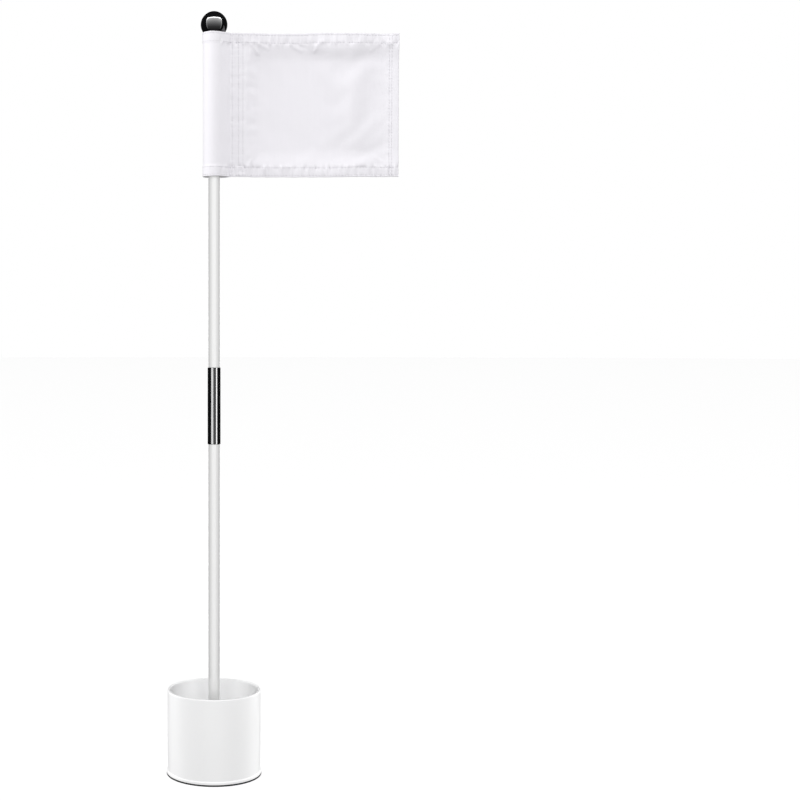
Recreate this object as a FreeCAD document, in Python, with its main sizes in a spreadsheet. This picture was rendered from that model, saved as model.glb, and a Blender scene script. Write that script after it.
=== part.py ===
"""Practice-green golf flagstick: a white cup, a two-piece fibreglass pole, a tube-lock flag and a ball knob.

Millimetres. +Z is up. The origin is the middle of the base pad's underside, on the pole's axis.
The flag flies from the pole towards +X, in the XZ plane.
"""
import FreeCAD, Part
import math
import os

import Sketcher

PARTS_FOLDER = "parts"
CLOSE = 0.001
FULL_TURN = 360.0

# Driving dimensions, all in millimetres except the counts.
SIZES = {
    # base pad: a rubber disc as wide as a regulation 4.25 in hole
    "pad_radius": 53.9,
    "pad_thick": 1.7,
    "pad_edge_round": 0.5,
    # cup shell, whose foot bead is flush with the pad, and the floor plate under its ledge
    "cup_radius": 52.9,
    "cup_top": 96.4,
    "cup_wall": 2.6,
    "cup_draft": 0.4,
    "cup_bead_rise": 2.4,
    "rim_round_outside": 1.5,
    "rim_round_inside": 0.8,
    "floor_level": 5.0,
    "floor_thick": 3.0,
    "hub_radius": 11.0,
    "hub_top": 28.0,
    "hub_mouth_round": 0.8,
    "socket_level": 6.0,
    "socket_gap": 0.08,
    "gusset_thick": 2.2,
    "gusset_reach": 6.0,
    "gusset_rise": 14.0,
    "gusset_count": 4,
    "drain_radius": 4.5,
    "drain_circle": 32.0,
    "drain_count": 8,
    # pole
    "rod_radius": 6.35,
    "rod_length": 411.5,
    "rod_bevel": 0.5,
    "tip_wall": 1.0,
    "tip_floor": 1.5,
    "tip_length": 20.0,
    "tip_bevel": 0.8,
    "ferrule_radius": 7.275,
    "ferrule_length": 86.6,
    "ferrule_round": 0.5,
    "slip_gap": 0.07,
    # pole top
    "stud_radius": 3.0,
    "stud_depth": 18.0,
    "stud_stand": 15.0,
    "stud_bevel": 0.6,
    "thrust_radius": 6.2,
    "thrust_thick": 0.8,
    "collar_radius": 4.8,
    "collar_length": 4.8,
    "running_gap": 0.1,
    # flag tube and its end pieces
    "tube_radius": 12.0,
    "tube_wall": 1.3,
    "cap_thick": 3.6,
    "cap_flange": 2.6,
    "cap_skirt": 2.0,
    "cap_plug": 10.0,
    "cap_round": 0.6,
    "cap_gap": 0.1,
    "bush_flange": 2.0,
    "bush_plug": 10.0,
    "bush_rise": 0.2,
    # flag cloth
    "flag_height": 159.0,
    "flag_low": 676.1,
    "cloth_thick": 0.6,
    "sleeve_gap": 0.1,
    "pocket_nose": 0.1,
    "seam_start": 18.5,
    "seam_end": 33.5,
    "seam_thick": 1.6,
    "hinge_gap": 0.8,
    "flag_end": 206.5,
    "hem_width": 10.4,
    "hem_thick": 1.4,
    # ball knob
    "ball_radius": 15.0,
    "ball_flat_drop": 9.15,
    "knob_gap": 0.05,
    "washer_radius": 6.0,
    "washer_thick": 0.75,
    "insert_radius": 4.6,
    "insert_length": 11.0,
    "insert_bevel": 0.4,
    "thread_gap": 0.05,
    "ball_bore_spare": 1.5,
    # how far a cut runs past a face, and how deep a web is rooted in its neighbour
    "overrun": 1.0,
}

# Levels along the pole, built from the driving dimensions.
ROD_FOOT = "(dim.socket_level + dim.tip_floor)"
JOINT_LEVEL = f"({ROD_FOOT} + dim.rod_length)"
ROD_TOP = f"({JOINT_LEVEL} + dim.rod_length)"
COLLAR_TOP = f"({ROD_TOP} + dim.collar_length)"
CAP_LOW = f"({ROD_TOP} + dim.thrust_thick + dim.cap_gap)"
TUBE_TOP = f"({CAP_LOW} + dim.cap_thick - dim.cap_flange)"
BUSH_LOW = "(dim.flag_low + dim.bush_rise)"
TUBE_LOW = f"({BUSH_LOW} + dim.bush_flange)"
WASHER_LOW = f"({COLLAR_TOP} + dim.knob_gap)"
BALL_CENTRE = f"({WASHER_LOW} + dim.ball_flat_drop)"
PANEL_START = "(dim.seam_end + 2 * dim.hinge_gap)"

doc = FreeCAD.newDocument("golf_flagstick")
sheet = doc.addObject("Spreadsheet::Sheet", "dim")
sub_parts = []


# ---------------------------------------------------------------- helpers

def fill_sheet():
    """Write one row per driving dimension: its name, its value, and the alias that expressions use."""
    for row, (name, size) in enumerate(SIZES.items(), start=1):
        sheet.set(f"A{row}", name)
        sheet.set(f"B{row}", str(size))
        sheet.setAlias(f"B{row}", name)
    doc.recompute()


def number(expression):
    """Value of an expression that reads the sheet."""
    return float(sheet.evalExpression(str(expression)))


def new_body(name, level="0"):
    """Body of its own for one sub-part, with its local origin on the pole's axis at the given level."""
    body = doc.addObject("PartDesign::Body", name)
    body.Label = name
    body.setExpression("Placement.Base.z", level)
    sub_parts.append(body)
    return body


def attach(sketch, body, role, turn_axis=None, turn=0.0):
    """Lay a sketch on one of its own body's origin planes, turned about one of the sketch's axes."""
    for feature in body.Origin.OriginFeatures:
        if feature.Role == role:
            sketch.AttachmentSupport = [(feature, "")]
    sketch.MapMode = "FlatFace"
    if turn_axis is not None:
        sketch.AttachmentOffset = FreeCAD.Placement(
            FreeCAD.Vector(),
            FreeCAD.Rotation(turn_axis, turn),
        )


def hold(sketch, kind, *where, size):
    """Add a driving constraint to a sketch and bind it to an expression."""
    index = sketch.addConstraint(Sketcher.Constraint(kind, *where, number(size)))
    sketch.setExpression(f"Constraints[{index}]", size)


def hold_point(sketch, line, end, across, along):
    """Fix the end of a line by its two coordinates, each an expression."""
    for kind, size in (("DistanceX", across), ("DistanceY", along)):
        if abs(number(size)) > CLOSE:
            hold(sketch, kind, -1, 1, line, end, size=size)
        elif kind == "DistanceX":
            sketch.addConstraint(Sketcher.Constraint("PointOnObject", line, end, -2))
        else:
            sketch.addConstraint(Sketcher.Constraint("PointOnObject", line, end, -1))


def add_loop(sketch, corners):
    """Draw a closed outline of straight lines through corners given as pairs of expressions."""
    points = [FreeCAD.Vector(number(across), number(along), 0) for across, along in corners]
    first = sketch.GeometryCount
    for start, end in zip(points, points[1:] + points[:1]):
        sketch.addGeometry(Part.LineSegment(start, end), False)
    for step in range(len(points)):
        before = first + (step - 1) % len(points)
        sketch.addConstraint(Sketcher.Constraint("Coincident", before, 2, first + step, 1))
    for step, (across, along) in enumerate(corners):
        hold_point(sketch, first + step, 1, across, along)


def profile(body, name, role, corners, turn_axis=None, turn=0.0):
    """Sketch holding one closed outline."""
    sketch = body.newObject("Sketcher::SketchObject", name)
    attach(sketch, body, role, turn_axis, turn)
    add_loop(sketch, corners)
    doc.recompute()
    return sketch


def circle_sketch(body, name, radius, across="0", turn=0.0):
    """Sketch on the body's XY plane holding one circle, at a distance from the axis when asked."""
    sketch = body.newObject("Sketcher::SketchObject", name)
    attach(sketch, body, "XY_Plane", FreeCAD.Vector(0, 0, 1), turn)
    centre = FreeCAD.Vector(number(across), 0, 0)
    sketch.addGeometry(Part.Circle(centre, FreeCAD.Vector(0, 0, 1), number(radius)), False)
    hold(sketch, "Radius", 0, size=radius)
    hold_point(sketch, 0, 3, across, "0")
    doc.recompute()
    return sketch


def revolve(body, name, sketch):
    """Turn an outline once round the body's Z axis."""
    feature = body.newObject("PartDesign::Revolution", name)
    feature.Profile = sketch
    feature.ReferenceAxis = (sketch, ["V_Axis"])
    feature.Angle = FULL_TURN
    doc.recompute()
    return feature


def turned_body(name, level, corners):
    """Body whose shape is one outline of (radius, height) corners turned round the Z axis."""
    body = new_body(name, level)
    outline = profile(body, f"{name}_outline", "XZ_Plane", corners)
    return body, revolve(body, f"{name}_turned", outline)


def pad(body, name, sketch, length, both_ways=False):
    """Extrude a sketch."""
    feature = body.newObject("PartDesign::Pad", name)
    feature.Profile = sketch
    feature.Midplane = both_ways
    feature.setExpression("Length", length)
    doc.recompute()
    return feature


def cut_upwards(body, name, sketch, depth):
    """Pocket from a sketch on the XY plane towards +Z, checked to have removed material."""
    before = body.Shape.Volume
    feature = body.newObject("PartDesign::Pocket", name)
    feature.Profile = sketch
    feature.Reversed = True
    feature.setExpression("Length", depth)
    doc.recompute()
    if not body.Shape.Volume < before:
        raise RuntimeError(f"{name} cut nothing")
    return feature


def repeat_round(body, name, feature, sketch, axis, count):
    """Repeat a feature evenly round the Z axis."""
    pattern = body.newObject("PartDesign::PolarPattern", name)
    pattern.Originals = [feature]
    pattern.Axis = (sketch, [axis])
    pattern.Angle = FULL_TURN
    pattern.setExpression("Occurrences", count)
    body.Tip = pattern
    doc.recompute()
    return pattern


def circle_edges(feature, radius, level):
    """Names of the feature's full circles at a radius and a height in the body's own frame."""
    names = []
    for index, edge in enumerate(feature.Shape.Edges, start=1):
        curve = edge.Curve
        if not isinstance(curve, Part.Circle):
            continue
        if abs(curve.Radius - number(radius)) < CLOSE and abs(curve.Center.z - number(level)) < CLOSE:
            names.append(f"Edge{index}")
    if not names:
        raise RuntimeError(f"{feature.Name} has no circle of radius {radius} at {level}")
    return names


def round_circle(body, name, radius, level, size):
    """Fillet the circle at a radius and a height."""
    base = body.Tip
    feature = body.newObject("PartDesign::Fillet", name)
    feature.Base = (base, circle_edges(base, radius, level))
    feature.setExpression("Radius", size)
    doc.recompute()
    return feature


def bevel_circle(body, name, radius, level, size):
    """Chamfer the circle at a radius and a height."""
    base = body.Tip
    feature = body.newObject("PartDesign::Chamfer", name)
    feature.Base = (base, circle_edges(base, radius, level))
    feature.setExpression("Size", size)
    doc.recompute()
    return feature


def round_bar(name, level, radius, length, bevel):
    """Plain round bar with both ends bevelled."""
    body = new_body(name, level)
    section = circle_sketch(body, f"{name}_section", radius)
    pad(body, f"{name}_bar", section, length)
    bevel_circle(body, f"{name}_lower_bevel", radius, "0", bevel)
    bevel_circle(body, f"{name}_upper_bevel", radius, length, bevel)
    return body


def ring(name, level, inner, outer, height):
    """Flat washer or plain collar."""
    body, _ = turned_body(name, level, [(inner, "0"), (outer, "0"), (outer, height), (inner, height)])
    return body


# ---------------------------------------------------------------- cup

def base_pad():
    """Rubber disc under the cup, with drain holes."""
    body, _ = turned_body("base_pad", "0", [
        ("0", "0"),
        ("dim.pad_radius", "0"),
        ("dim.pad_radius", "dim.pad_thick"),
        ("0", "dim.pad_thick"),
    ])
    round_circle(body, "base_pad_lower_round", "dim.pad_radius", "0", "dim.pad_edge_round")
    drain_holes(body, "base_pad", "dim.pad_thick + dim.overrun")


def drain_holes(body, name, depth):
    """Ring of drain holes, each midway between two gussets' directions."""
    half_step = FULL_TURN / number("dim.drain_count") / 2
    sketch = circle_sketch(body, f"{name}_drain", "dim.drain_radius", "dim.drain_circle", half_step)
    hole = cut_upwards(body, f"{name}_drain_hole", sketch, depth)
    repeat_round(body, f"{name}_drain_holes", hole, sketch, "N_Axis", "dim.drain_count")


def cup_shell():
    """Round wall of the cup: drafted inside, with a foot bead, and a ledge that the floor sits under."""
    skirt = "dim.cup_radius - dim.cup_wall"
    bead_top = "dim.pad_thick + dim.cup_bead_rise"
    ledge = "dim.floor_level + dim.floor_thick"
    body, _ = turned_body("cup_shell", "0", [
        (skirt, "dim.pad_thick"),
        ("dim.pad_radius", "dim.pad_thick"),
        ("dim.pad_radius", bead_top),
        ("dim.cup_radius", f"{bead_top} + dim.pad_radius - dim.cup_radius"),
        ("dim.cup_radius", "dim.cup_top"),
        (skirt, "dim.cup_top"),
        (f"{skirt} - dim.cup_draft", ledge),
        (skirt, ledge),
    ])
    round_circle(body, "rim_round_outside", "dim.cup_radius", "dim.cup_top", "dim.rim_round_outside")
    round_circle(body, "rim_round_inside", skirt, "dim.cup_top", "dim.rim_round_inside")


def cup_floor():
    """Floor plate with drain holes and a ribbed hub, whose foot stands on the pad and whose socket
    holds the pole.
    """
    edge = "dim.cup_radius - dim.cup_wall"
    socket = "dim.rod_radius + dim.tip_wall + dim.socket_gap"
    floor_top = "dim.floor_level + dim.floor_thick"
    body, _ = turned_body("cup_floor", "0", [
        ("0", "dim.pad_thick"),
        ("dim.hub_radius", "dim.pad_thick"),
        ("dim.hub_radius", "dim.floor_level"),
        (edge, "dim.floor_level"),
        (edge, floor_top),
        ("dim.hub_radius", floor_top),
        ("dim.hub_radius", "dim.hub_top"),
        (socket, "dim.hub_top"),
        (socket, "dim.socket_level"),
        ("0", "dim.socket_level"),
    ])
    round_circle(body, "hub_mouth_round", "dim.hub_radius", "dim.hub_top", "dim.hub_mouth_round")
    gussets(body, floor_top)
    drain_holes(body, "cup_floor", f"{floor_top} + dim.overrun")


def gussets(body, floor_top):
    """Triangular webs that brace the hub on the floor, midway between the X and Y directions."""
    root = "dim.hub_radius - dim.overrun"
    low = f"{floor_top} - dim.overrun"
    half_step = FULL_TURN / number("dim.gusset_count") / 2
    outline = profile(body, "gusset_outline", "XZ_Plane", [
        (root, low),
        ("dim.hub_radius + dim.gusset_reach", low),
        ("dim.hub_radius + dim.gusset_reach", floor_top),
        (root, f"{floor_top} + dim.gusset_rise"),
    ], FreeCAD.Vector(0, 1, 0), half_step)
    web = pad(body, "gusset", outline, "dim.gusset_thick", both_ways=True)
    repeat_round(body, "gussets", web, outline, "V_Axis", "dim.gusset_count")


# ---------------------------------------------------------------- pole

def rod_tip():
    """Moulded cap on the pole's foot, which sits in the cup's socket."""
    outer = "dim.rod_radius + dim.tip_wall"
    body, _ = turned_body("rod_tip", "dim.socket_level", [
        ("0", "0"),
        (outer, "0"),
        (outer, "dim.tip_length"),
        ("dim.rod_radius", "dim.tip_length"),
        ("dim.rod_radius", "dim.tip_floor"),
        ("0", "dim.tip_floor"),
    ])
    bevel_circle(body, "rod_tip_bevel", outer, "0", "dim.tip_bevel")


def joint_ferrule():
    """Tube that joins the two rods: a tight bore on the lower rod and a slip bore for the upper one."""
    half = "dim.ferrule_length / 2"
    slip = "dim.rod_radius + dim.slip_gap"
    body, _ = turned_body("joint_ferrule", f"{JOINT_LEVEL} - {half}", [
        ("dim.rod_radius", "0"),
        ("dim.ferrule_radius", "0"),
        ("dim.ferrule_radius", "dim.ferrule_length"),
        (slip, "dim.ferrule_length"),
        (slip, half),
        ("dim.rod_radius", half),
    ])
    round_circle(body, "ferrule_lower_round", "dim.ferrule_radius", "0", "dim.ferrule_round")
    round_circle(body, "ferrule_upper_round", "dim.ferrule_radius", "dim.ferrule_length", "dim.ferrule_round")


def upper_rod():
    """Upper rod with a blind bore in its top for the stud."""
    body = round_bar("upper_rod", JOINT_LEVEL, "dim.rod_radius", "dim.rod_length", "dim.rod_bevel")
    before = body.Shape.Volume
    sketch = circle_sketch(body, "stud_bore_section", "dim.stud_radius")
    sketch.setExpression("AttachmentOffset.Base.z", "dim.rod_length")
    doc.recompute()
    bore = body.newObject("PartDesign::Pocket", "stud_bore")
    bore.Profile = sketch
    bore.setExpression("Length", "dim.stud_depth")
    doc.recompute()
    if not body.Shape.Volume < before:
        raise RuntimeError("the stud bore cut nothing")


def pole_top():
    """Stud, thrust washer and spacer collar on the upper rod."""
    stud_length = "dim.stud_depth + dim.stud_stand"
    round_bar("top_stud", f"{ROD_TOP} - dim.stud_depth", "dim.stud_radius", stud_length, "dim.stud_bevel")
    collar_bore = "dim.stud_radius + dim.thread_gap"
    ring("spacer_collar", ROD_TOP, collar_bore, "dim.collar_radius", "dim.collar_length")
    ring("thrust_washer", ROD_TOP, "dim.collar_radius", "dim.thrust_radius", "dim.thrust_thick")


# ---------------------------------------------------------------- flag

def tube_top_cap():
    """Cap that closes the flag tube and turns round the spacer collar on the rod's top."""
    bore = "dim.collar_radius + dim.running_gap"
    plug = "dim.tube_radius - dim.tube_wall"
    skirt = f"{plug} - dim.cap_skirt"
    plug_low = "dim.cap_thick - dim.cap_flange - dim.cap_plug"
    body, _ = turned_body("tube_top_cap", CAP_LOW, [
        (bore, "0"),
        (skirt, "0"),
        (skirt, plug_low),
        (plug, plug_low),
        (plug, "dim.cap_thick - dim.cap_flange"),
        ("dim.tube_radius", "dim.cap_thick - dim.cap_flange"),
        ("dim.tube_radius", "dim.cap_thick"),
        (bore, "dim.cap_thick"),
    ])
    round_circle(body, "cap_upper_round", "dim.tube_radius", "dim.cap_thick", "dim.cap_round")


def flag_tube():
    """Stiff tube inside the flag's sleeve, held between the cap and the bush."""
    inner = "dim.tube_radius - dim.tube_wall"
    ring("flag_tube", TUBE_LOW, inner, "dim.tube_radius", f"{TUBE_TOP} - {TUBE_LOW}")


def tube_bottom_bush():
    """Flanged bush that keeps the tube's foot centred on the rod."""
    bore = "dim.rod_radius + dim.running_gap"
    plug = "dim.tube_radius - dim.tube_wall"
    top = "dim.bush_flange + dim.bush_plug"
    body, _ = turned_body("tube_bottom_bush", BUSH_LOW, [
        (bore, "0"),
        ("dim.tube_radius", "0"),
        ("dim.tube_radius", "dim.bush_flange"),
        (plug, "dim.bush_flange"),
        (plug, top),
        (bore, top),
    ])
    round_circle(body, "bush_lower_round", "dim.tube_radius", "0", "dim.cap_round")


def sleeve_outline(sketch, radius, nose, half_nose):
    """Teardrop outline: an arc round the tube and two tangents that meet the nose's upright line."""
    reach = math.hypot(number(nose), number(half_nose))
    lean = math.atan2(number(half_nose), number(nose)) + math.acos(number(radius) / reach)
    across = number(radius) * math.cos(lean)
    along = number(radius) * math.sin(lean)
    first = sketch.GeometryCount
    circle = Part.Circle(FreeCAD.Vector(), FreeCAD.Vector(0, 0, 1), number(radius))
    arc = Part.ArcOfCircle(circle, lean, 2 * math.pi - lean)
    right_low = FreeCAD.Vector(number(nose), -number(half_nose), 0)
    right_high = FreeCAD.Vector(number(nose), number(half_nose), 0)
    sketch.addGeometry(arc, False)
    sketch.addGeometry(Part.LineSegment(FreeCAD.Vector(across, -along, 0), right_low), False)
    sketch.addGeometry(Part.LineSegment(right_low, right_high), False)
    sketch.addGeometry(Part.LineSegment(right_high, FreeCAD.Vector(across, along, 0)), False)
    sketch.addConstraint(Sketcher.Constraint("Coincident", first, 3, -1, 1))
    hold(sketch, "Radius", first, size=radius)
    sketch.addConstraint(Sketcher.Constraint("Tangent", first, 2, first + 1, 1))
    sketch.addConstraint(Sketcher.Constraint("Coincident", first + 1, 2, first + 2, 1))
    sketch.addConstraint(Sketcher.Constraint("Coincident", first + 2, 2, first + 3, 1))
    sketch.addConstraint(Sketcher.Constraint("Tangent", first + 3, 2, first, 1))
    hold_point(sketch, first + 2, 1, nose, f"-({half_nose})")
    hold_point(sketch, first + 2, 2, nose, half_nose)


def flag_sleeve():
    """Hoist pocket of the flag's cloth, wrapped round the tube and sewn flat along the seam band."""
    inner = "dim.tube_radius + dim.sleeve_gap"
    outer = f"{inner} + dim.cloth_thick"
    body = new_body("flag_sleeve", "dim.flag_low")
    pocket = body.newObject("Sketcher::SketchObject", "pocket_section")
    attach(pocket, body, "XY_Plane")
    sleeve_outline(pocket, outer, "dim.seam_start", "dim.seam_thick / 2")
    sleeve_outline(pocket, inner, "dim.seam_start - dim.cloth_thick", "dim.pocket_nose")
    doc.recompute()
    pad(body, "pocket", pocket, "dim.flag_height")
    band = profile(body, "seam_section", "XY_Plane", [
        ("dim.seam_start - dim.cloth_thick / 2", "-dim.seam_thick / 2"),
        ("dim.seam_end", "-dim.seam_thick / 2"),
        ("dim.seam_end", "dim.seam_thick / 2"),
        ("dim.seam_start - dim.cloth_thick / 2", "dim.seam_thick / 2"),
    ])
    pad(body, "seam_band", band, "dim.flag_height")


def flag_panel():
    """Flying part of the flag's cloth, with a doubled hem along its top, bottom and fly edges."""
    body = new_body("flag_panel", "dim.flag_low")
    cloth = profile(body, "cloth_outline", "XZ_Plane", [
        (PANEL_START, "0"),
        ("dim.flag_end", "0"),
        ("dim.flag_end", "dim.flag_height"),
        (PANEL_START, "dim.flag_height"),
    ])
    pad(body, "cloth", cloth, "dim.cloth_thick", both_ways=True)
    inner_top = "dim.flag_height - dim.hem_width"
    inner_end = "dim.flag_end - dim.hem_width"
    hems = profile(body, "hem_outline", "XZ_Plane", [
        (PANEL_START, "0"),
        ("dim.flag_end", "0"),
        ("dim.flag_end", "dim.flag_height"),
        (PANEL_START, "dim.flag_height"),
        (PANEL_START, inner_top),
        (inner_end, inner_top),
        (inner_end, "dim.hem_width"),
        (PANEL_START, "dim.hem_width"),
    ])
    pad(body, "hems", hems, "dim.hem_thick", both_ways=True)


# ---------------------------------------------------------------- ball knob

def cylinder(name, level, radius, height):
    """Part primitive standing on the axis at a level."""
    shape = doc.addObject("Part::Cylinder", name)
    shape.setExpression("Radius", radius)
    shape.setExpression("Height", height)
    shape.setExpression("Placement.Base.z", level)
    return shape


def ball_knob():
    """Ball with a flat underside, a recess for the washer and a bore for the threaded insert."""
    ball = doc.addObject("Part::Sphere", "ball")
    ball.setExpression("Radius", "dim.ball_radius")
    ball.setExpression("Angle1", "-asin(dim.ball_flat_drop / dim.ball_radius)")
    ball.setExpression("Placement.Base.z", BALL_CENTRE)
    recess_depth = "dim.washer_thick"
    recess_radius = "dim.washer_radius + dim.running_gap"
    low = f"{WASHER_LOW} - dim.overrun"
    recess = cylinder("washer_recess", low, recess_radius, f"{recess_depth} + dim.overrun")
    bore_depth = f"{recess_depth} + dim.insert_length"
    bore = cylinder("insert_bore", low, "dim.insert_radius", f"{bore_depth} + dim.overrun")
    spare = cylinder(
        "stud_clearance",
        WASHER_LOW,
        "dim.stud_radius + dim.running_gap",
        f"{bore_depth} + dim.ball_bore_spare",
    )
    hollow = doc.addObject("Part::MultiFuse", "ball_hollow")
    hollow.Shapes = [recess, bore, spare]
    knob = doc.addObject("Part::Cut", "ball_knob")
    knob.Base = ball
    knob.Tool = hollow
    knob.Label = "ball_knob"
    sub_parts.append(knob)
    doc.recompute()


def knob_insert():
    """Brass threaded insert in the ball's underside."""
    bore = "dim.stud_radius + dim.thread_gap"
    body, _ = turned_body("knob_insert", f"{WASHER_LOW} + dim.washer_thick", [
        (bore, "0"),
        ("dim.insert_radius", "0"),
        ("dim.insert_radius", "dim.insert_length"),
        (bore, "dim.insert_length"),
    ])
    bevel_circle(body, "insert_mouth_bevel", bore, "0", "dim.insert_bevel")


def knob_washer():
    """Washer between the collar and the ball, which rises with the ball without turning."""
    bore = "dim.stud_radius + dim.running_gap"
    thick = "dim.washer_thick - dim.knob_gap"
    ring("knob_washer", WASHER_LOW, bore, "dim.washer_radius", thick)


# ---------------------------------------------------------------- assembly, checks and files

def build():
    """Make every sub-part."""
    base_pad()
    cup_shell()
    cup_floor()
    rod_tip()
    round_bar("lower_rod", ROD_FOOT, "dim.rod_radius", "dim.rod_length", "dim.rod_bevel")
    joint_ferrule()
    upper_rod()
    pole_top()
    flag_tube()
    tube_top_cap()
    tube_bottom_bush()
    flag_sleeve()
    flag_panel()
    ball_knob()
    knob_insert()
    knob_washer()
    doc.recompute()


def check():
    """Stop if any object of the document failed or any sub-part has no valid solid."""
    for thing in doc.Objects:
        if "Invalid" in thing.State or "Error" in thing.State:
            raise RuntimeError(f"{thing.Name} is in state {thing.State}")
    for part in sub_parts:
        shape = part.Shape
        if shape.isNull() or not shape.isValid() or not shape.Solids:
            raise RuntimeError(f"{part.Label} has no valid solid")


def write_files():
    """Write one STEP file per sub-part, named by its label."""
    os.makedirs(PARTS_FOLDER, exist_ok=True)
    for part in sub_parts:
        box = part.Shape.BoundBox
        low = f"{box.XMin:9.3f} {box.YMin:9.3f} {box.ZMin:9.3f}"
        high = f"{box.XMax:9.3f} {box.YMax:9.3f} {box.ZMax:9.3f}"
        print(f"{part.Label:18s} {low}  to {high}  {part.Shape.Volume:11.1f} mm3")
        part.Shape.exportStep(os.path.join(PARTS_FOLDER, f"{part.Label}.step"))


fill_sheet()
build()
check()
write_files()
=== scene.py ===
"""Looks of the golf flagstick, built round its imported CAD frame.

Metres. +Z is up, the flag flies towards +X, and the side that the camera sees is -Y.
"""
from math import acos, asin, atan2, cos, hypot, pi, radians, sin, tan

import bmesh
import bpy
import numpy as np
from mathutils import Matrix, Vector, noise
from numpy.linalg import norm


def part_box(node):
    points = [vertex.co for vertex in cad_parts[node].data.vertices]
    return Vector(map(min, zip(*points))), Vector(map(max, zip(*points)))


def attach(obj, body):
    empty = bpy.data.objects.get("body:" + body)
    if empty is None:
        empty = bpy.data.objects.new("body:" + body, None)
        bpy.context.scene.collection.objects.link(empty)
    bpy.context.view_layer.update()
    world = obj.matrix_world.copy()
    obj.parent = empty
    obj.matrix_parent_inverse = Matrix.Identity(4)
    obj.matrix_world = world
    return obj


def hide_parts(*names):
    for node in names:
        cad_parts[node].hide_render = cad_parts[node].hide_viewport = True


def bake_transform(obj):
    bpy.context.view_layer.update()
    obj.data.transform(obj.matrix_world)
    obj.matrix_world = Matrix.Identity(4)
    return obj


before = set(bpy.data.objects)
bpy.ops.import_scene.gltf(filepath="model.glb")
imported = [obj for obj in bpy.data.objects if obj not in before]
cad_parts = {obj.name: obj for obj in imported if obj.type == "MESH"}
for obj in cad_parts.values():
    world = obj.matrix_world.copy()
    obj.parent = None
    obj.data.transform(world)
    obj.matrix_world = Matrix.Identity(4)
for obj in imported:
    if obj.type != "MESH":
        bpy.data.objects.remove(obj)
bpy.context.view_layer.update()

SCENE = bpy.context.scene

MM = 0.001
TURN = 2 * pi
FINE = 192              # segments of a turned piece
MEDIUM = 96
ROUND_STEPS = 6         # of the arc at a corner
ARC_SHARE = 0.42        # of a side, at most, that the arc at its end takes up
SHARP = radians(28)
ON_AXIS = 1e-7

# ---- places, read from the frame

class Span:
    """Outer radius, foot and head of a turned CAD node."""

    def __init__(self, node):
        low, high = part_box(node)
        self.radius, self.low, self.high = high.x, low.z, high.z


PAD = Span("base_pad")
CUP = Span("cup_shell")
FLOOR = Span("cup_floor")
TIP = Span("rod_tip")
FERRULE = Span("joint_ferrule")
STUD = Span("top_stud")
THRUST = Span("thrust_washer")
COLLAR = Span("spacer_collar")
TUBE = Span("flag_tube")
CAP = Span("tube_top_cap")
BUSH = Span("tube_bottom_bush")
WASHER = Span("knob_washer")
BALL = Span("ball_knob")
INSERT = Span("knob_insert")
ROD_RADIUS = Span("lower_rod").radius

# Sizes that the boxes don't show, the same as the CAD's.
CUP_WALL = 2.6 * MM
CUP_DRAFT = 0.4 * MM
BEAD_PROUD = 1.0 * MM
BEAD_RISE = 2.4 * MM
FLOOR_LEVEL = 5.0 * MM
FLOOR_TOP = 8.0 * MM
HUB_RADIUS = 11.0 * MM
SOCKET_GAP = 0.08 * MM
GUSSET_THICK = 2.2 * MM
GUSSET_REACH = 6.0 * MM
GUSSET_RISE = 14.0 * MM
DRAIN_RADIUS = 4.5 * MM
DRAIN_CIRCLE = 32.0 * MM
DRAIN_COUNT = 8
GUSSET_COUNT = 4
TIP_FLOOR = 1.5 * MM
SLIP_GAP = 0.07 * MM
THREAD_GAP = 0.05 * MM
RUNNING_GAP = 0.1 * MM
CAP_FLANGE = 2.6 * MM
CAP_SKIRT = 2.0 * MM
TUBE_WALL = 1.3 * MM
BUSH_FLANGE = 2.0 * MM
BALL_RADIUS = 15.0 * MM

# M6 thread of the stud, which is plain in the CAD.
THREAD_PITCH = 1.0 * MM
THREAD_DEPTH = 0.55 * MM


# ---- materials

def add_node(tree, kind, inputs=None, **settings):
    """Add a node, set its properties, and set or link its inputs, given by name or number."""
    made = tree.nodes.new(kind)
    for name, value in settings.items():
        setattr(made, name, value)
    for key, value in (inputs or {}).items():
        if isinstance(value, bpy.types.NodeSocket):
            tree.links.new(value, made.inputs[key])
        else:
            made.inputs[key].default_value = value
    return made


def new_material(name, color, roughness, **sockets):
    """Principled material and its node tree; sockets are the shader's other inputs, with _ for a space."""
    material = bpy.data.materials.new(name)
    material.use_nodes = True
    tree = material.node_tree
    shader = tree.nodes["Principled BSDF"]
    shader.inputs["Base Color"].default_value = (*color, 1)
    shader.inputs["Roughness"].default_value = roughness
    for socket, value in sockets.items():
        shader.inputs[socket.replace("_", " ")].default_value = value
    return material, tree


def grain(tree, scale, stretch=(1, 1, 1), detail=4.0, source="Object"):
    """Noise in the piece's own coordinates, stretched along an axis where stretch is small."""
    place = add_node(tree, "ShaderNodeTexCoord").outputs[source]
    place = add_node(tree, "ShaderNodeMapping", {"Vector": place, "Scale": stretch}).outputs[0]
    inputs = {"Vector": place, "Scale": scale, "Detail": detail}
    return add_node(tree, "ShaderNodeTexNoise", inputs).outputs["Fac"]


def spread(tree, value, low, high, start=0.3, end=0.7):
    """Map a noise value onto a range."""
    inputs = {"Value": value, "From Min": start, "From Max": end, "To Min": low, "To Max": high}
    return add_node(tree, "ShaderNodeMapRange", inputs).outputs[0]


def tint(tree, value, dark, light):
    """Colour between two, by a value."""
    factor, first, second = 0, 6, 7
    inputs = {factor: value, first: (*dark, 1), second: (*light, 1)}
    return add_node(tree, "ShaderNodeMix", inputs, data_type="RGBA").outputs[2]


def calculator(tree):
    """Function that adds a math node on two sockets or numbers."""
    def calc(operation, first, second=0.0):
        return add_node(tree, "ShaderNodeMath", {0: first, 1: second}, operation=operation).outputs[0]
    return calc


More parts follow.
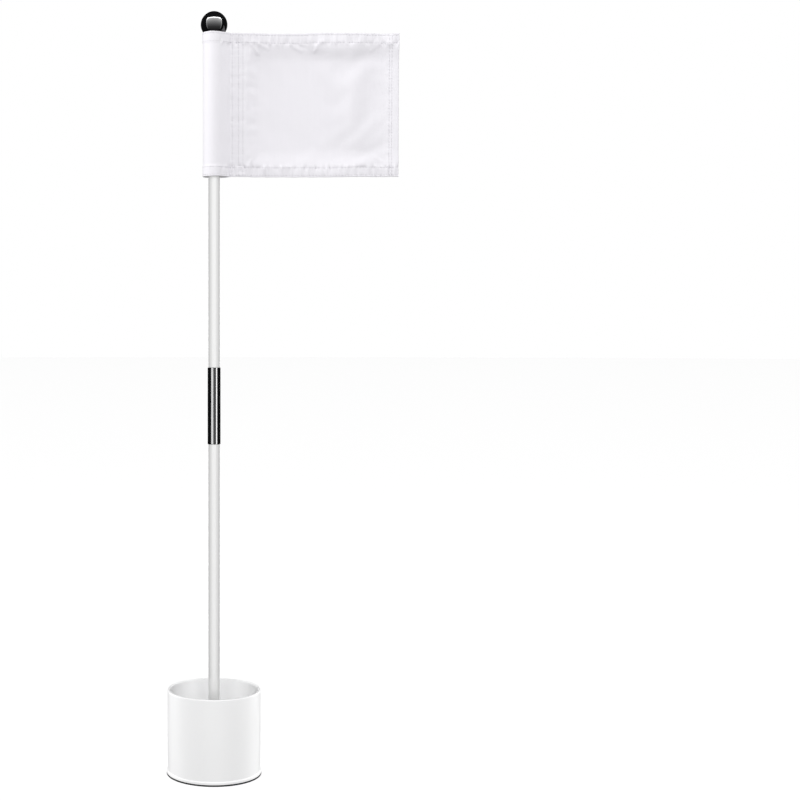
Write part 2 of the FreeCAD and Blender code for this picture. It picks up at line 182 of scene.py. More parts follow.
def bump(tree, height, strength, distance, under=None):
    """Bump from a height over a distance in mm, on top of another bump where one is given."""
    inputs = {"Strength": strength, "Distance": distance * MM, "Height": height}
    if under is not None:
        inputs["Normal"] = under
    return add_node(tree, "ShaderNodeBump", inputs).outputs[0]


def dress(material, color, roughness, normal):
    """Link a material's colour, roughness and normal."""
    tree = material.node_tree
    shader = tree.nodes["Principled BSDF"]
    for name, value in (("Base Color", color), ("Roughness", roughness), ("Normal", normal)):
        tree.links.new(value, shader.inputs[name])
    return material


def cup_plastic():
    """White moulding: faint orange peel, slight mottling, and a finely scuffed gloss."""
    material, tree = new_material(
        "cup_plastic", (0.9, 0.9, 0.905), 0.36, IOR=1.49, Specular_IOR_Level=0.3
    )
    mottle = tint(tree, grain(tree, 28.0, detail=3.0), (0.885, 0.886, 0.89), (0.915, 0.915, 0.918))
    scuffs = spread(tree, grain(tree, 210.0, (1, 1, 0.12), 5.0), 0.3, 0.42)
    peel = bump(tree, grain(tree, 900.0, detail=2.0), 0.16, 0.12)
    flow = bump(tree, grain(tree, 60.0, (1, 1, 0.2), 2.0), 0.12, 0.4, peel)
    return dress(material, mottle, scuffs, flow)


def pad_rubber():
    """Matt black rubber with a fine pebble."""
    material, tree = new_material("pad_rubber", (0.012, 0.012, 0.013), 0.72)
    dust = grain(tree, 160.0, detail=6.0)
    color = tint(tree, dust, (0.008, 0.008, 0.009), (0.022, 0.022, 0.023))
    pebble = bump(tree, grain(tree, 2400.0, detail=3.0), 0.4, 0.1)
    return dress(material, color, spread(tree, dust, 0.62, 0.85), pebble)


def fibreglass():
    """White pultruded rod: long fibre streaks under a smooth skin."""
    material, tree = new_material(
        "fibreglass", (0.9, 0.9, 0.895), 0.34, IOR=1.5, Coat_Weight=0.6, Coat_Roughness=0.16
    )
    fibres = grain(tree, 1500.0, (1, 1, 0.006), 5.0)
    color = tint(tree, fibres, (0.86, 0.86, 0.852), (0.925, 0.925, 0.922))
    ribs = bump(tree, fibres, 0.25, 0.12)
    waves = bump(tree, grain(tree, 120.0, (1, 1, 0.15), 2.0), 0.1, 0.3, ribs)
    return dress(material, color, spread(tree, fibres, 0.28, 0.44), waves)


def gloss_black(name, roughness, peel, drag):
    """Black gloss with faint orange peel and hairline scuffs drawn out along the axis by drag."""
    color = (0.0012, 0.0012, 0.0014)
    material, tree = new_material(
        name, color, roughness, IOR=1.5, Coat_Weight=1.0, Coat_Roughness=0.06
    )
    scuffs = grain(tree, 500.0, (1, 1, drag), 4.0)
    lighter = tuple(channel * 1.8 for channel in color)
    gloss = spread(tree, scuffs, roughness * 0.85, roughness * 1.3)
    waves = bump(tree, grain(tree, 60.0, detail=2.0), peel, 0.1)
    return dress(material, tint(tree, scuffs, color, lighter), gloss, waves)


def metal(name, color, roughness, drag):
    """Turned or plated metal with fine tool marks."""
    material, tree = new_material(name, color, roughness, Metallic=1.0)
    marks = grain(tree, 1800.0, drag, 5.0)
    darker = tuple(channel * 0.82 for channel in color)
    polish = spread(tree, marks, roughness * 0.75, roughness * 1.3)
    return dress(material, tint(tree, marks, darker, color), polish, bump(tree, marks, 0.3, 0.05))


def moulding(name, dark, light, roughness):
    """Plain moulded plastic with a fine satin texture."""
    material, tree = new_material(name, light, roughness, IOR=1.5)
    mottle = grain(tree, 90.0, detail=4.0)
    satin = spread(tree, mottle, roughness * 0.85, roughness * 1.15)
    texture = bump(tree, grain(tree, 1600.0, detail=3.0), 0.2, 0.08)
    return dress(material, tint(tree, mottle, dark, light), satin, texture)


def weave_height(tree, pitch):
    """Height of a plain weave from the cloth's own flat coordinates: over-one, under-one threads."""
    calc = calculator(tree)
    place = add_node(tree, "ShaderNodeTexCoord").outputs["UV"]
    axes = add_node(tree, "ShaderNodeSeparateXYZ", {"Vector": place})
    counts = [calc("MULTIPLY", axes.outputs[axis], 1 / pitch) for axis in (0, 1)]
    cells = [calc("FLOOR", count) for count in counts]
    threads = [calc("ABSOLUTE", calc("SINE", calc("MULTIPLY", count, pi))) for count in counts]
    over = calc("MODULO", calc("ABSOLUTE", calc("ADD", *cells)), 2.0)
    factor, first, second = 0, 2, 3
    inputs = {factor: over, first: threads[0], second: threads[1]}
    return add_node(tree, "ShaderNodeMix", inputs, data_type="FLOAT").outputs[0]


def flag_cloth():
    """White nylon plain weave with a soft sheen, slubs and faint handling creases."""
    material, tree = new_material(
        "flag_cloth", (0.86, 0.845, 0.885), 0.62, IOR=1.45, Sheen_Weight=0.12, Sheen_Roughness=0.4
    )
    slubs = grain(tree, 420.0, (1, 0.05, 1), 4.0, "UV")
    color = tint(tree, slubs, (0.846, 0.831, 0.873), (0.872, 0.857, 0.897))
    weave = bump(tree, weave_height(tree, 0.42 * MM), 0.35, 0.08)
    creases = bump(tree, grain(tree, 85.0, (1, 1, 1), 5.0, "UV"), 0.22, 0.5, weave)
    return dress(material, color, spread(tree, slubs, 0.55, 0.72), creases)


def thread_with_painted_shade():
    """Spun polyester thread with a fine twist: white thread given a grey colour as painted shade, so that
    stitched lines read dark.
    """
    # The grey base colour is painted shade of the stitch lines; the thread itself is white.
    material, tree = new_material(
        "thread_with_painted_shade", (0.72, 0.71, 0.74), 0.55, Sheen_Weight=0.3, Sheen_Roughness=0.4
    )
    twist = grain(tree, 5200.0, (1, 1, 0.4), 3.0)
    # Twist tint between two greys: random twist variation, on top of the painted shade of the grey.
    color = tint(tree, twist, (0.62, 0.61, 0.64), (0.76, 0.75, 0.78))
    return dress(material, color, spread(tree, twist, 0.45, 0.65), bump(tree, twist, 0.5, 0.05))


def floor_paper():
    """Seamless studio paper."""
    material, tree = new_material("floor_paper", (0.86, 0.86, 0.86), 0.9)
    tooth = bump(tree, grain(tree, 400.0), 0.05, 0.1)
    tree.links.new(tooth, tree.nodes["Principled BSDF"].inputs["Normal"])
    return material


FINISHES = {
    "cup_plastic": cup_plastic(),
    "pad_rubber": pad_rubber(),
    "tip_plastic": moulding("tip_plastic", (0.014, 0.014, 0.015), (0.03, 0.03, 0.032), 0.5),
    "fibreglass": fibreglass(),
    "ferrule_enamel": gloss_black("ferrule_enamel", 0.12, 0.015, 0.03),
    "stud_steel": metal("stud_steel", (0.62, 0.62, 0.63), 0.3, (1, 1, 0.3)),
    "brass": metal("brass", (0.78, 0.56, 0.27), 0.26, (0.3, 0.3, 1)),
    "nylon": moulding("nylon", (0.78, 0.77, 0.72), (0.86, 0.85, 0.8), 0.5),
    "tube_plastic": moulding("tube_plastic", (0.84, 0.84, 0.845), (0.9, 0.9, 0.9), 0.45),
    "flag_cloth": flag_cloth(),
    "ball_plastic": gloss_black("ball_plastic", 0.09, 0.02, 1.0),
}
THREAD = thread_with_painted_shade()


# ---- mesh helpers

def new_piece(name, vertices, faces, material, flat_sizes=None):
    """Smooth-shaded mesh object with outward normals; flat_sizes is a UV pair for each vertex."""
    mesh = bpy.data.meshes.new(name)
    mesh.from_pydata([tuple(map(float, v)) for v in vertices], [], faces)
    mesh.materials.append(material)
    mesh.polygons.foreach_set("use_smooth", [True] * len(mesh.polygons))
    if flat_sizes is not None:
        layer = mesh.uv_layers.new(name="flat")
        corners = np.zeros(len(mesh.loops), int)
        mesh.loops.foreach_get("vertex_index", corners)
        layer.data.foreach_set("uv", np.asarray(flat_sizes, np.float32)[corners].ravel())
    work = bmesh.new()
    work.from_mesh(mesh)
    bmesh.ops.recalc_face_normals(work, faces=work.faces)
    work.to_mesh(mesh)
    work.free()
    piece = bpy.data.objects.new(name, mesh)
    SCENE.collection.objects.link(piece)
    return piece


def stand_for(piece, body, slot, node):
    """The piece rides on a body and stands for a CAD node, whose part is hidden; slot is not used."""
    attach(piece, body)
    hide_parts(node)
    return piece


def angle_between(a, b):
    """Angle between two vectors."""
    return acos(max(-1.0, min(1.0, float(a @ b) / float(norm(a) * norm(b)))))


def arc_points(start, end, centre):
    """Points on the shorter arc from start to end."""
    a = start - centre
    b = end - centre
    sweep = angle_between(a, b)
    shares = [(sin((1 - t) * sweep), sin(t * sweep)) for t in np.linspace(0, 1, ROUND_STEPS + 1)]
    return [centre + (near_a * a + near_b * b) / sin(sweep) for near_a, near_b in shares]


def rounded(corners):
    """Closed outline through (radius, height, rounding in mm) corners, with arcs at the corners.

    A point close beside each arc keeps the flats flat under smooth shading.
    """
    places = [np.array(corner[:2], float) for corner in corners]
    runs = []
    for index, (_, _, rounding) in enumerate(corners):
        here = places[index]
        back = places[index - 1] - here
        ahead = places[(index + 1) % len(places)] - here
        if rounding == 0:
            runs.append([here])
            continue
        back_way, ahead_way = unit(back), unit(ahead)
        half = angle_between(back_way, ahead_way) / 2
        room = ARC_SHARE * min(norm(back), norm(ahead))
        reach = min(rounding * MM / tan(half), room)
        centre = here + unit(back_way + ahead_way) * reach / cos(half)
        runs.append(arc_points(here + back_way * reach, here + ahead_way * reach, centre))
    outline = []
    for run, following in zip(runs, runs[1:] + runs[:1]):
        outline += run
        gap = following[0] - run[-1]
        length = float(norm(gap))
        beside = min(0.25 * MM, 0.2 * length)
        if length > 0.1 * MM and max(run[-1][0], following[0][0]) > 0:
            outline += [run[-1] + gap * beside / length, following[0] - gap * beside / length]
    return outline


def lathe(name, outline, material, segments=FINE):
    """Closed surface that an outline of (radius, height) points makes as it turns round the Z axis."""
    vertices = []
    rings = []
    angles = np.arange(segments) * TURN / segments
    for radius, height in outline:
        rings.append((len(vertices), radius > ON_AXIS))
        if radius > ON_AXIS:
            vertices += [(radius * cos(a), radius * sin(a), height) for a in angles]
        else:
            vertices.append((0, 0, height))
    faces = []
    for (low, low_wide), (high, high_wide) in zip(rings, rings[1:] + rings[:1]):
        if not low_wide and not high_wide:
            continue
        for step in range(segments):
            after = (step + 1) % segments
            corner = [low + step, low + after] if low_wide else [low]
            corner += [high + after, high + step] if high_wide else [high]
            faces.append(corner)
    return new_piece(name, vertices, faces, material)


def turned(name, node, body, slot, corners, segments=MEDIUM):
    """Turned piece with rounded corners, which rides on a body and stands for a CAD node."""
    return stand_for(lathe(name, rounded(corners), FINISHES[slot], segments), body, slot, node)


def stack_faces(first, rings, sides):
    """Faces of stacked rings of vertices, closed at both ends."""
    bottom = list(range(first, first + sides))
    top = [k + (rings - 1) * sides for k in bottom]
    return ring_faces(first, rings, sides) + [bottom[::-1], top]


def ring_faces(first, rings, sides):
    """Quads between stacked rings of vertices."""
    faces = []
    for low in range(first, first + (rings - 1) * sides, sides):
        for k in range(sides):
            after = (k + 1) % sides
            faces.append([low + k, low + after, low + sides + after, low + sides + k])
    return faces


def grid_faces(rows, columns):
    """Quads of a grid of vertices."""
    faces = []
    for i in range(rows - 1):
        for a in range(i * columns, (i + 1) * columns - 1):
            faces.append([a, a + 1, a + columns + 1, a + columns])
    return faces


def unit(vector):
    """A vector's direction."""
    return vector / norm(vector)


def combine(piece, tool, operation):
    """Boolean of a piece with a tool, which is used up; sharp edges are marked afterwards."""
    change = piece.modifiers.new("combine", "BOOLEAN")
    change.operation = operation
    change.solver = "EXACT"
    change.object = tool
    graph = bpy.context.evaluated_depsgraph_get()
    mesh = bpy.data.meshes.new_from_object(piece.evaluated_get(graph))
    piece.modifiers.clear()
    old = piece.data
    piece.data = mesh
    bpy.data.meshes.remove(old)
    bpy.data.objects.remove(tool)
    mesh.polygons.foreach_set("use_smooth", [True] * len(mesh.polygons))
    mesh.set_sharp_from_angle(angle=SHARP)
    return piece


def on_circle(radius, angle, middle=(0.0, 0.0)):
    """Point at an angle on a circle in plan."""
    return middle[0] + radius * cos(angle), middle[1] + radius * sin(angle)


def drain_cutters(material):
    """Round cutters for the ring of drain holes."""
    vertices = []
    faces = []
    sides = 48
    for number in range(DRAIN_COUNT):
        middle = on_circle(DRAIN_CIRCLE, (number + 0.5) * TURN / DRAIN_COUNT)
        first = len(vertices)
        rim = [on_circle(DRAIN_RADIUS, k * TURN / sides, middle) for k in range(sides)]
        vertices += [(x, y, -1 * MM) for x, y in rim]
        vertices += [(x, y, FLOOR_TOP + 1 * MM) for x, y in rim]
        faces += stack_faces(first, 2, sides)
    return new_piece("drain_cutters", vertices, faces, material)


# ---- cup

def make_cup():
    """Round wall of the cup, with a rounded rim, a foot bead, and the ledge over the floor."""
    outer = CUP.radius - BEAD_PROUD
    skirt = outer - CUP_WALL
    low = CUP.low
    top = CUP.high
    turned("cup_wall", "cup_shell", "cup", "cup_plastic", [
        (skirt, low, 0.3),
        (CUP.radius, low, 0.35),
        (CUP.radius, low + BEAD_RISE, 0.5),
        (outer, low + BEAD_RISE + BEAD_PROUD, 0.6),
        (outer, top, 1.5),
        (skirt, top, 0.8),
        (skirt - CUP_DRAFT, FLOOR_TOP, 0.15),
        (skirt, FLOOR_TOP, 0),
    ], FINE)


def make_floor_plate():
    """Drained floor plate with a ribbed hub that holds the pole."""
    edge = FLOOR.radius
    socket = TIP.radius + SOCKET_GAP
    outline = rounded([
        (0, FLOOR.low, 0),
        (HUB_RADIUS, FLOOR.low, 0.3),
        (HUB_RADIUS, FLOOR_LEVEL, 0.5),
        (edge, FLOOR_LEVEL, 0.2),
        (edge, FLOOR_TOP, 0.2),
        (HUB_RADIUS, FLOOR_TOP, 1.0),
        (HUB_RADIUS, FLOOR.high, 0.8),
        (socket, FLOOR.high, 0.5),
        (socket, TIP.low, 0.4),
        (0, TIP.low, 0),
    ])
    material = FINISHES["cup_plastic"]
    plate = lathe("cup_floor_plate", outline, material)
    for number in range(GUSSET_COUNT):
        combine(plate, gusset(number, material), "UNION")
    combine(plate, drain_cutters(material), "DIFFERENCE")
    stand_for(plate, "cup", "cup_plastic", "cup_floor")


def gusset(number, material):
    """One triangular web between the hub and the floor."""
    angle = (number + 0.5) * TURN / GUSSET_COUNT
    root = HUB_RADIUS - 1 * MM
    reach = HUB_RADIUS + GUSSET_REACH
    low = FLOOR_TOP - 1 * MM
    side = [(root, low), (reach, low), (reach, FLOOR_TOP), (root, FLOOR_TOP + GUSSET_RISE)]
    vertices = []
    for shift in (-GUSSET_THICK / 2, GUSSET_THICK / 2):
        for radius, height in side:
            x, y = on_circle(radius, angle)
            vertices.append((x - shift * sin(angle), y + shift * cos(angle), height))
    return new_piece(f"gusset_{number}", vertices, stack_faces(0, 2, len(side)), material)


def make_pad():
    """Rubber pad under the cup."""
    outline = rounded([
        (0, PAD.low, 0),
        (PAD.radius, PAD.low, 0.25),
        (PAD.radius, PAD.high, 0.1),
        (0, PAD.high, 0),
    ])
    material = FINISHES["pad_rubber"]
    pad = lathe("rubber_pad", outline, material)
    combine(pad, drain_cutters(material), "DIFFERENCE")
    stand_for(pad, "cup", "pad_rubber", "base_pad")


# ---- pole

def make_rod(name, node, body):
    """Fibreglass rod with bevelled ends."""
    rod = Span(node)
    bevel = 0.5 * MM
    turned(name, node, body, "fibreglass", [
        (0, rod.low, 0),
        (rod.radius - bevel, rod.low, 0.15),
        (rod.radius, rod.low + bevel, 0.15),
        (rod.radius, rod.high - bevel, 0.15),
        (rod.radius - bevel, rod.high, 0.15),
        (0, rod.high, 0),
    ])


def make_tip():
    """Black cap on the pole's foot."""
    turned("foot_cap", "rod_tip", "lower_pole", "tip_plastic", [
        (0, TIP.low, 0),
        (TIP.radius, TIP.low, 0.8),
        (TIP.radius, TIP.high, 0.3),
        (ROD_RADIUS, TIP.high, 0.1),
        (ROD_RADIUS, TIP.low + TIP_FLOOR, 0),
        (0, TIP.low + TIP_FLOOR, 0),
    ])


def make_ferrule():
    """Black tube over the joint of the two rods, with rolled ends."""
    low = FERRULE.low
    high = FERRULE.high
    middle = (low + high) / 2
    slip = ROD_RADIUS + SLIP_GAP
    return turned("ferrule_tube", "joint_ferrule", "lower_pole", "ferrule_enamel", [
        (ROD_RADIUS, low, 0.1),
        (FERRULE.radius, low, 0.55),
        (FERRULE.radius, high, 0.55),
        (slip, high, 0.25),
        (slip, middle, 0),
        (ROD_RADIUS, middle, 0),
    ], FINE)


def make_stud():
    """Threaded steel stud: at each angle the crests stand a little higher, by one pitch per turn."""
    low, high = STUD.low, STUD.high
    sides = 48
    angles = np.arange(sides) * TURN / sides
    heights = np.arange(low, high, THREAD_PITCH / 10)
    phase = (heights[:, None] - low) / THREAD_PITCH - angles / TURN
    wave = np.abs(2 * (phase - np.floor(phase)) - 1)
    depth = THREAD_DEPTH * np.clip(1.15 * wave - 0.1, 0, 1)        # crests and roots cut flat
    ends = np.clip(np.minimum(heights - low, high - heights) / (0.6 * MM), 0, 1)
    radii = (STUD.radius - depth) * (0.82 + 0.18 * np.sqrt(ends))[:, None]
    vertices = []
    for row, height in zip(radii, heights):
        vertices += [(*on_circle(radius, angle), height) for radius, angle in zip(row, angles)]
    faces = stack_faces(0, len(heights), sides)
    stud = new_piece("threaded_stud", vertices, faces, FINISHES["stud_steel"])
    stand_for(stud, "upper_pole", "stud_steel", "top_stud")


def make_ring(name, node, body, slot, inner, softening):
    """Washer, collar or tube, with edges softened by so many millimetres."""
    ring = Span(node)
    corners = [(inner, ring.low), (ring.radius, ring.low), (ring.radius, ring.high), (inner, ring.high)]
    turned(name, node, body, slot, [(*corner, softening) for corner in corners])


# ---- flag tube and its end pieces

def make_cap():
    """Cap that closes the tube and turns on the spacer collar."""
    bore = COLLAR.radius + RUNNING_GAP
    plug = TUBE.radius - TUBE_WALL
    skirt = plug - CAP_SKIRT
    under = THRUST.high + RUNNING_GAP
    turned("sleeve_cap", "tube_top_cap", "flag_hoist", "tube_plastic", [
        (bore, under, 0.2),
        (skirt, under, 0.5),
        (skirt, CAP.low, 0.3),
        (plug, CAP.low, 0.4),
        (plug, CAP.high - CAP_FLANGE, 0.1),
        (CAP.radius, CAP.high - CAP_FLANGE, 0.15),
        (CAP.radius, CAP.high, 0.6),
        (bore, CAP.high, 0.3),
    ], FINE)


def make_bush():
    """Flanged bush at the tube's foot."""
    bore = ROD_RADIUS + RUNNING_GAP
    plug = TUBE.radius - TUBE_WALL
    flange_top = BUSH.low + BUSH_FLANGE
    turned("sleeve_bush", "tube_bottom_bush", "flag_hoist", "tube_plastic", [
        (bore, BUSH.low, 0.4),
        (BUSH.radius, BUSH.low, 0.6),
        (BUSH.radius, flange_top, 0.15),
        (plug, flange_top, 0.1),
        (plug, BUSH.high, 0.4),
        (bore, BUSH.high, 0.4),
    ], FINE)


# ---- ball knob

def make_ball():
    """Glossy ball with a flat underside, a washer recess and the insert's bore."""
    centre = BALL.high - BALL_RADIUS
    drop = centre - BALL.low
    start = -asin(drop / BALL_RADIUS)
    turn_in = 0.05        # the sphere starts a little above the flat's rounded edge
    angles = np.linspace(start + turn_in, pi / 2, 72)
    surface = [np.array((BALL_RADIUS * cos(a), centre + BALL_RADIUS * sin(a))) for a in angles]
    surface[-1][0] = 0.0
    flat = BALL_RADIUS * cos(start)
    recess = WASHER.radius + RUNNING_GAP
    recess_top = INSERT.low
    bore = INSERT.radius
    bore_top = INSERT.high + 1.5 * MM
    under = rounded([
        (0, bore_top, 0),
        (bore, bore_top, 0.3),
        (bore, recess_top, 0.2),
        (recess, recess_top, 0.15),
        (recess, BALL.low, 0.3),
        (flat, BALL.low, 0.5),
        (surface[0][0] + 0.02 * MM, surface[0][1], 0),
        (0, surface[0][1], 0),
    ])
    low_edge = surface[0][1] - 0.02 * MM
    last = max(i for i, p in enumerate(under) if p[0] > flat - 0.3 * MM and p[1] < low_edge)
    ball = lathe("ball_finial", under[:last + 1] + surface, FINISHES["ball_plastic"])
    return stand_for(ball, "knob", "ball_plastic", "ball_knob")


# ---- flag cloth

PANEL_LOW, PANEL_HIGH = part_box("flag_panel")
FLAG_LOW, FLAG_TOP, FLAG_END = PANEL_LOW.z, PANEL_HIGH.z, PANEL_HIGH.x
FLAG_HEIGHT = FLAG_TOP - FLAG_LOW
BAND_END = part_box("flag_sleeve")[1].x
BAND_WIDTH = 15.0 * MM
BAND_START = BAND_END - BAND_WIDTH
BAND_HALF = 0.42 * MM
WRAP_RADIUS = TUBE.radius + 0.36 * MM
HALF_CLOTH = 0.17 * MM
SETTLE = 14.0 * MM

EDGE_STITCH = 1.7 * MM
HEM_STITCH = 10.2 * MM
HEM_FOLD = 11.6 * MM
HEM_EXTRA = 0.55 * MM
FLY_ROWS = (10.3 * MM, 7.4 * MM)
BAND_ROWS = (20.3 * MM, 27.4 * MM, 32.2 * MM)
STITCH_PITCH = 3.3 * MM
FRONT_STEPS = 400
BAND_STEPS = 40

# Short sharp creases: two ends (x and height over the flag's foot), then height and width in mm.
CREASES = [
    ((0.0400, 0.1490), (0.0490, 0.1370), 0.88, 1.5),
    ((0.0450, 0.1495), (0.0600, 0.1425), 0.64, 1.6),
    ((0.0370, 0.1480), (0.0385, 0.1330), -0.64, 1.4),
    ((0.0860, 0.1470), (0.0980, 0.1400), 0.56, 1.6),
    ((0.0900, 0.1475), (0.1040, 0.1430), -0.48, 1.5),
    ((0.1160, 0.1475), (0.1125, 0.1395), 0.96, 1.2),
    ((0.0380, 0.0115), (0.0420, 0.0190), 0.72, 1.5),
    ((0.1850, 0.1480), (0.1750, 0.1400), 0.48, 1.8),
    ((0.1930, 0.0130), (0.1800, 0.0220), 0.48, 1.8),
]

# Simulation of the flying panel.
AIR_FRAMES = 25
NYLON_IN_AIR = {
    "quality": 8,
    "mass": 0.02,
    "air_damping": 2.0,
    "tension_stiffness": 12,
    "compression_stiffness": 12,
    "shear_stiffness": 6,
    "bending_stiffness": 0.8,
    "vertex_group_mass": "held",
    "pin_stiffness": 4,
    "vertex_group_shrink": "hems",
    "shrink_min": -0.003,
    "shrink_max": 0.006,
}


def smooth_step(value, low, high):
    """Eases from 0 at low to 1 at high."""
    t = np.clip((value - low) / (high - low), 0, 1)
    return t * t * (3 - 2 * t)


def plan_path():
    """Plan line of the whole cloth: fly edge, seam band, round the tube, and back along the band."""
    reach = hypot(BAND_START, BAND_HALF)
    lean = atan2(BAND_HALF, BAND_START) + acos(WRAP_RADIUS / reach)
    xs = np.linspace(FLAG_END, BAND_END, FRONT_STEPS)
    front = [(x, -BAND_HALF * (1 - smooth_step(x, BAND_END, BAND_END + SETTLE))) for x in xs]
    band = [(x, -BAND_HALF) for x in np.linspace(BAND_END, BAND_START, BAND_STEPS)[1:]]
    wrap = [on_circle(WRAP_RADIUS, a) for a in np.linspace(-lean, lean - TURN, 200)]
    back = [(x, BAND_HALF) for x in np.linspace(BAND_START, BAND_END, BAND_STEPS)]
    points = np.array(front + band + wrap + back)
    steps = norm(np.diff(points, axis=0), axis=1)
    return np.concatenate([[0], np.cumsum(steps)]), points


PATH_LENGTHS, PATH_POINTS = plan_path()
CLOTH_LENGTH = float(PATH_LENGTHS[-1])


def along_path(s):
    """Plan position at a length along the cloth."""
    return np.stack([np.interp(s, PATH_LENGTHS, PATH_POINTS[:, axis]) for axis in (0, 1)], axis=-1)


def front_length(x):
    """Length along the cloth at which its front layer reaches x."""
    layer = slice(FRONT_STEPS + BAND_STEPS - 1)
    return float(np.interp(FLAG_END - x, FLAG_END - PATH_POINTS[layer, 0], PATH_LENGTHS[layer]))


FRONT_ROWS = [front_length(x) for x in BAND_ROWS]
BACK_ROWS = [CLOTH_LENGTH - (BAND_END - x) for x in BAND_ROWS]
PANEL_LENGTH = front_length(BAND_END)


def stations(length, step, lines):
    """Even stations along a length, with closer ones at and beside the given lines."""
    extra = [line + offset * MM for line in lines for offset in (-1.3, -0.6, 0.0, 0.6, 1.3)]
    extra = [e for e in extra if 0 < e < length]
    even = np.linspace(0, length, round(length / step) + 1)
    kept = [e for e in even if all(abs(e - x) > 0.45 * step for x in extra) or e in (even[0], even[-1])]
    return np.array(sorted(kept + extra))


def soft_folds(x, z):
    """Broad folds of the flying panel, as a distance towards the back: one of them leans with height."""
    across = (x - BAND_END) / (FLAG_END - BAND_END)
    lean = across - 0.3 * (0.5 - (z - FLAG_LOW) / FLAG_HEIGHT)
    rise = 4.4 * smooth_step(across, 0.0, 0.26)
    fall = -6.8 * smooth_step(lean, 0.44, 0.68)
    back = 5.0 * smooth_step(across, 0.68, 0.9)
    edge = -2.4 * smooth_step(across, 0.9, 1.0)
    from_edge = np.minimum(z - FLAG_LOW, FLAG_TOP - z)
    depth = 2.0 + 1.6 * smooth_step(z, FLAG_LOW + 0.2 * FLAG_HEIGHT, FLAG_LOW + 0.8 * FLAG_HEIGHT)
    billow = depth * smooth_step(from_edge, 9 * MM, 32 * MM) * smooth_step(across, 0.0, 0.1)
    return (rise + fall + back + edge + billow) * MM


def fly_in_air():
    """Shape of the flying panel from a cloth simulation: a grid of displacements from flat.

    The panel is held at the seam band and at its fly corners, the lower one loosely. Its hems are
    drawn in as sewing draws them, and it sags a little under its own weight.
    """
    step = 2.0 * MM
    across = round((FLAG_END - BAND_END) / step)
    up = round(FLAG_HEIGHT / step)
    xs = np.linspace(BAND_END, FLAG_END, across + 1)
    zs = np.linspace(FLAG_LOW, FLAG_TOP, up + 1)
    flat = np.array([[(x, 0.0, z) for z in zs] for x in xs])
    start = flat.copy()
    away = (xs[:, None] - BAND_END) / (FLAG_END - BAND_END)
    start[..., 1] = 0.6 * MM * noise_field(xs, zs, (22, 12), 3.1) * np.minimum(1.0, 3 * away)
    start[..., 1] += 0.5 * soft_folds(xs[:, None], zs[None, :])
    faces = grid_faces(across + 1, up + 1)
    cloth = new_piece("air_cloth", start.reshape(-1, 3), faces, FINISHES["flag_cloth"])
    index = np.arange(flat[..., 0].size).reshape(across + 1, up + 1)
    pins = cloth.vertex_groups.new(name="held")
    for held, weight in ((index[:2], 1.0), (index[-1, -5:], 1.0), (index[-1, :4], 0.6)):
        pins.add(held.ravel().tolist(), weight, "REPLACE")
    edge = np.minimum(np.minimum(zs - FLAG_LOW, FLAG_TOP - zs)[None, :], (FLAG_END - xs)[:, None])
    hems = cloth.vertex_groups.new(name="hems")
    hems.add(index[edge < HEM_FOLD].tolist(), 1.0, "REPLACE")
    physics = cloth.modifiers.new("air", "CLOTH").settings
    for name, value in NYLON_IN_AIR.items():
        setattr(physics, name, value)
    physics.effector_weights.gravity = 0.04
    for number in range(1, AIR_FRAMES + 1):
        SCENE.frame_set(number)
    graph = bpy.context.evaluated_depsgraph_get()
    settled = cloth.evaluated_get(graph).data
    places = np.zeros(len(settled.vertices) * 3)
    settled.vertices.foreach_get("co", places)
    bpy.data.objects.remove(cloth)
    SCENE.frame_set(1)
    shift = soften(places.reshape(flat.shape) - flat)
    shift[..., 1] += 0.85 * soft_folds(xs[:, None], zs[None, :])
    limit = np.array([3.0, 9.5, 3.0]) * MM
    return xs, zs, limit * np.tanh(shift / limit)


def soften(shift):
    """Even out the shortest waves of a grid of displacements."""
    for _ in range(5):
        for axis in (0, 1):
            rows = np.moveaxis(shift, axis, 0)
            rows[1:-1] = (rows[:-2] + 2 * rows[1:-1] + rows[2:]) / 4
    return shift


def cubic_weights(t):
    """Catmull-Rom weights of the four grid points round a place."""
    return np.stack([
        0.5 * (-t + 2 * t ** 2 - t ** 3),
        0.5 * (2 - 5 * t ** 2 + 3 * t ** 3),
        0.5 * (t + 4 * t ** 2 - 3 * t ** 3),
        0.5 * (-t ** 2 + t ** 3),
    ])


def resample(values, old, new):
    """Smooth values along the first axis of a grid from evenly spaced old places to new ones."""
    position = (new - old[0]) / (old[1] - old[0])
    cell = np.clip(np.floor(position).astype(int), 0, len(old) - 2)
    weights = cubic_weights(position - cell)
    total = 0.0
    for offset in range(4):
        index = np.clip(cell + offset - 1, 0, len(old) - 1)
        total = total + weights[offset][:, None, None] * values[index]
    return total


def noise_field(first, second, scale, seed):
    """Smooth noise over a grid of flat coordinates, from about -1 to 1."""
    field = [[noise.noise(Vector((a * scale[0], b * scale[1], seed))) for b in second] for a in first]
    return 2.0 * np.array(field)


def near(distance, width):
    """1 on a line, fading over width."""
    return np.exp(-(distance / width) ** 2)


